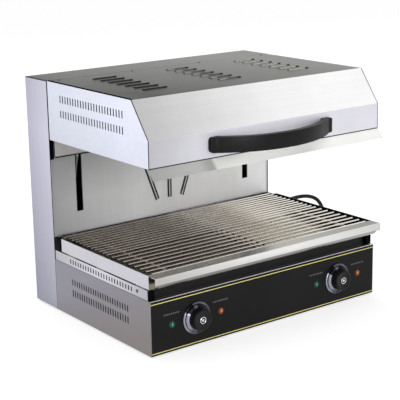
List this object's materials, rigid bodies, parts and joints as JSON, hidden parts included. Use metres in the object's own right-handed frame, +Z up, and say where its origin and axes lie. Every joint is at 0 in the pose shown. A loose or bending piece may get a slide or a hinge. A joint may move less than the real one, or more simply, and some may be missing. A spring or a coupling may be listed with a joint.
{
  "type": "cheese melter",
  "caption": "Countertop electric salamander grill: steel base with heat controls, drip tray and wire grate under a heated hood that slides on a rear column.",
  "frame": {"origin": "on the standing surface, under the middle of the box round the body, handle and rear screws, without the mains lead", "axes": "+X to the right seen from the front, -Y out of the front, +Z up"},
  "size_m": [0.978, 0.6766, 0.5066],
  "materials": {
    "base_steel": "brushed",
    "column_steel": "brushed",
    "hood_steel": "brushed",
    "top_steel": "brushed",
    "tray_steel": "brushed",
    "bright_sheet": "bright",
    "zinc_sheet": "galvanised",
    "grate_wire": "bright",
    "ground_rod": "ground",
    "rope_steel": "stranded",
    "screw_steel": "satin",
    "element_tube": "heat tinted",
    "cast_grey": "as cast",
    "bronze": "sintered",
    "black_enamel": "gloss",
    "fascia_black": "semi-gloss",
    "gold_line": "satin",
    "chrome_ring": "polished",
    "green_lens": "clear gloss",
    "orange_lens": "clear gloss",
    "handle_black": "satin",
    "knob_black": "satin",
    "black_nylon": "moulded",
    "nylon": "moulded",
    "ceramic_white": "glazed",
    "mineral_wool": "felted",
    "black_rubber": "matt",
    "cord_rubber": "matt"
  },
  "bodies": {
    "cabinet": {"floor_plate": "zinc_sheet", "base_side_left": "base_steel", "base_side_right": "base_steel", "tray_runner_left": "base_steel", "tray_runner_right": "base_steel", "tray_glides": "nylon", "deck_plate": "black_enamel", "front_panel": "base_steel", "fascia": "fascia_black", "fascia_stripes": "gold_line", "column_side_left": "column_steel", "column_side_right": "column_steel", "column_front_panel": "column_steel", "rear_cover": "column_steel", "column_cap": "top_steel", "cabinet_screws": "screw_steel", "feet": "black_rubber", "guide_rods": "ground_rod", "rod_blocks": "cast_grey", "pulley_beam": "zinc_sheet", "rope_wraps": "rope_steel", "thermostat_left": "ceramic_white", "thermostat_right": "ceramic_white", "power_lamps": "green_lens", "heat_lamps": "orange_lens", "knob_rings": "chrome_ring", "terminal_block": "ceramic_white", "cable_gland": "black_nylon", "mains_cord": "cord_rubber", "cord_coil": "cord_rubber", "cord_tie": "black_nylon", "mains_plug": "cord_rubber"},
    "hood": {"hood_top_cover": "top_steel", "hood_side_left": "hood_steel", "hood_side_right": "hood_steel", "hood_front_panel": "hood_steel", "front_lip": "hood_steel", "rear_skirt": "hood_steel", "reflector_pan": "bright_sheet", "insulation_slab": "mineral_wool", "heating_element_left": "element_tube", "heating_element_right": "element_tube", "element_hangers": "zinc_sheet", "handle": "handle_black", "handle_screws": "screw_steel", "hood_screws": "screw_steel", "lift_arm_left": "bright_sheet", "lift_arm_right": "bright_sheet", "lift_carriage": "zinc_sheet", "guide_bushes": "bronze", "lift_ropes": "rope_steel"},
    "counterweight": {"counterweight": "cast_grey", "weight_ropes": "rope_steel"},
    "pulley_left": {"pulley_left": "black_nylon"},
    "pulley_right": {"pulley_right": "black_nylon"},
    "tray": {"drip_tray": "tray_steel", "grate_rests": "tray_steel"},
    "grate": {"wire_grate": "grate_wire"},
    "knob_left": {"knob_left": "knob_black"},
    "knob_right": {"knob_right": "knob_black"}
  },
  "joints": [
    {"name": "hood_lift", "type": "slide", "parent": "cabinet", "child": "hood", "axis": [0, 0, 1], "range_m": [-0.12, 0], "deforming": ["lift_ropes"]},
    {"name": "weight_slide", "type": "slide", "parent": "cabinet", "child": "counterweight", "axis": [0, 0, 1], "range_m": [0, 0.12], "deforming": ["weight_ropes"]},
    {"name": "pulley_left_turn", "type": "hinge", "parent": "cabinet", "child": "pulley_left", "pos_m": [-0.11, 0.2305, 0.4758], "axis": [1, 0, 0], "range_deg": [0, 511]},
    {"name": "pulley_right_turn", "type": "hinge", "parent": "cabinet", "child": "pulley_right", "pos_m": [0.11, 0.2305, 0.4758], "axis": [1, 0, 0], "range_deg": [0, 511]},
    {"name": "tray_slide", "type": "slide", "parent": "cabinet", "child": "tray", "axis": [0, -1, 0], "range_m": [0, 0.26]},
    {"name": "grate_lift", "type": "slide", "parent": "tray", "child": "grate", "axis": [0, 0, 1], "range_m": [0, 0.03]},
    {"name": "knob_left_turn", "type": "hinge", "parent": "cabinet", "child": "knob_left", "pos_m": [-0.19, -0.2017, 0.061], "axis": [0, 1, 0], "range_deg": [0, 270]},
    {"name": "knob_right_turn", "type": "hinge", "parent": "cabinet", "child": "knob_right", "pos_m": [0.19, -0.2017, 0.061], "axis": [0, 1, 0], "range_deg": [0, 270]}
  ],
  "couplings": [
    {"joint": "weight_slide", "follows": "hood_lift", "ratio": -1},
    {"joint": "pulley_left_turn", "follows": "hood_lift", "rad_per_m": -71.429},
    {"joint": "pulley_right_turn", "follows": "hood_lift", "rad_per_m": -71.429}
  ]
}
